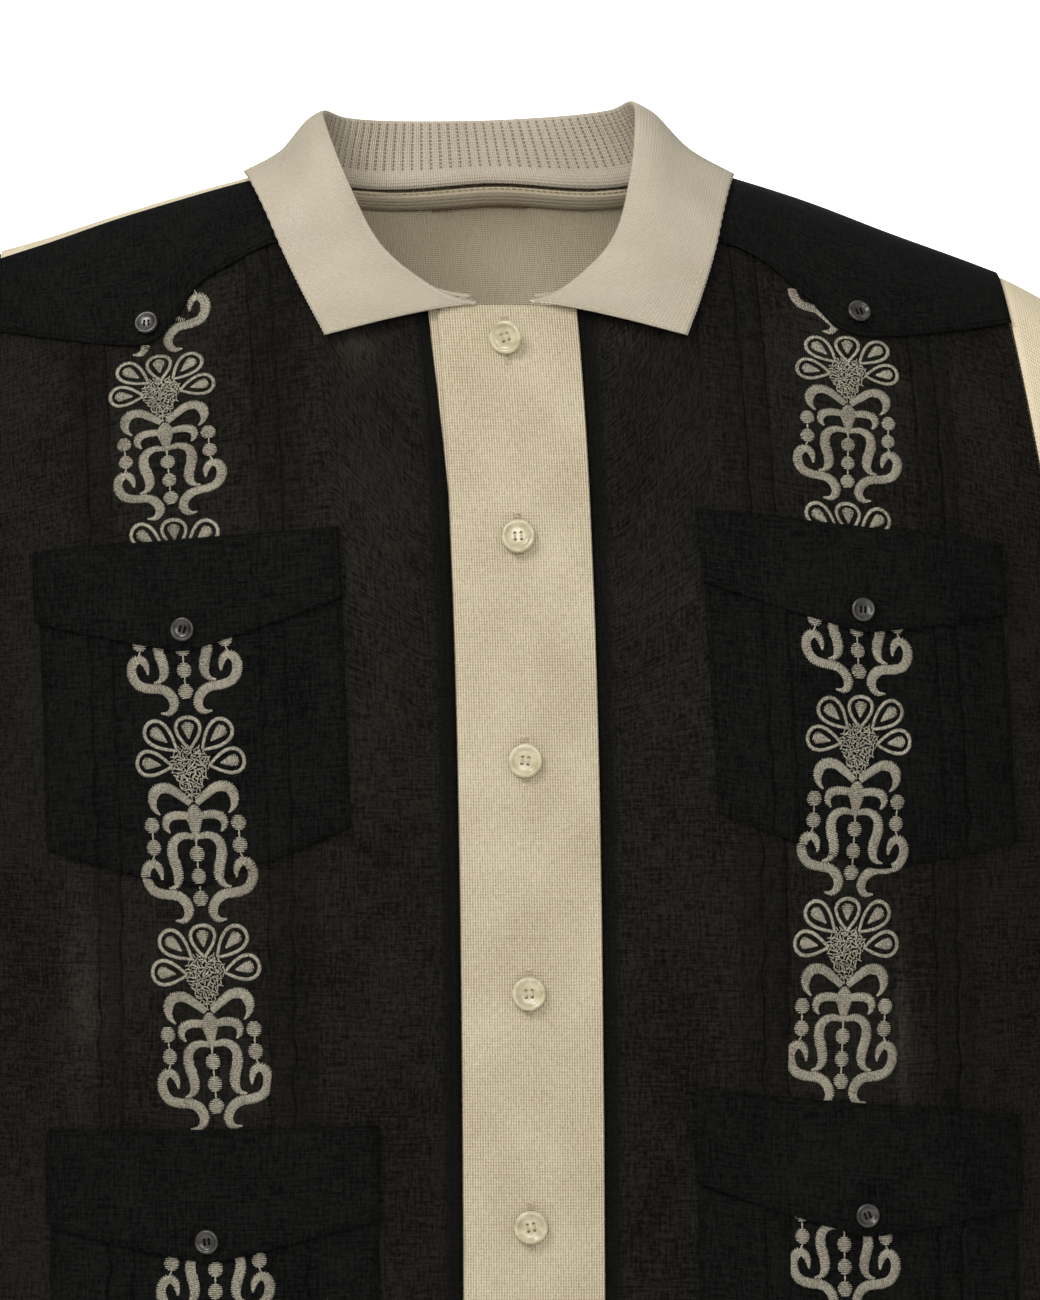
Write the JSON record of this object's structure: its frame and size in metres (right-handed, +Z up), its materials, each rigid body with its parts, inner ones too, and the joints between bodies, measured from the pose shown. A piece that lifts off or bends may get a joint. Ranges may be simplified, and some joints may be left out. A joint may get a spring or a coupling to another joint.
{
  "type": "short-sleeved embroidered shirt of the guayabera cut, filled out with no wearer",
  "caption": "Hollow short-sleeved shirt with black front panels, embroidered bands, four flap pockets and a cream knit collar, placket, back and sleeves.",
  "frame": {"origin": "middle of the neck opening, level with the shoulder line where it meets the collar; the wearer's neck and shoulders hold the shirt there", "axes": "+X towards the viewer's right of the front, -Y out of the front, +Z up"},
  "size_m": [0.7526, 0.2169, 0.7452],
  "materials": {
    "black_cloth": "sheer plain weave",
    "cream_knit": "matt knit",
    "ivory_button": "pearly",
    "dark_button": "horn-like",
    "embroidery": "satin stitch"
  },
  "bodies": {
    "root": {"front_left": "black_cloth", "front_right": "black_cloth", "yoke_left": "black_cloth", "yoke_right": "black_cloth", "pocket_upper_left": "black_cloth", "pocket_upper_right": "black_cloth", "pocket_lower_left": "black_cloth", "pocket_lower_right": "black_cloth", "flap_upper_left": "black_cloth", "flap_upper_right": "black_cloth", "flap_lower_left": "black_cloth", "flap_lower_right": "black_cloth", "back": "cream_knit", "collar": "cream_knit", "neck_tape": "cream_knit", "placket_top": "cream_knit", "placket_under": "cream_knit", "sleeve_left": "cream_knit", "sleeve_right": "cream_knit", "button_front_1": "ivory_button", "button_front_2": "ivory_button", "button_front_3": "ivory_button", "button_front_4": "ivory_button", "button_front_5": "ivory_button", "button_front_6": "ivory_button", "button_front_7": "ivory_button", "button_flap_upper_left": "dark_button", "button_flap_upper_right": "dark_button", "button_flap_lower_left": "dark_button", "button_flap_lower_right": "dark_button", "button_yoke_left": "dark_button", "button_yoke_right": "dark_button"}
  },
  "joints": []
}
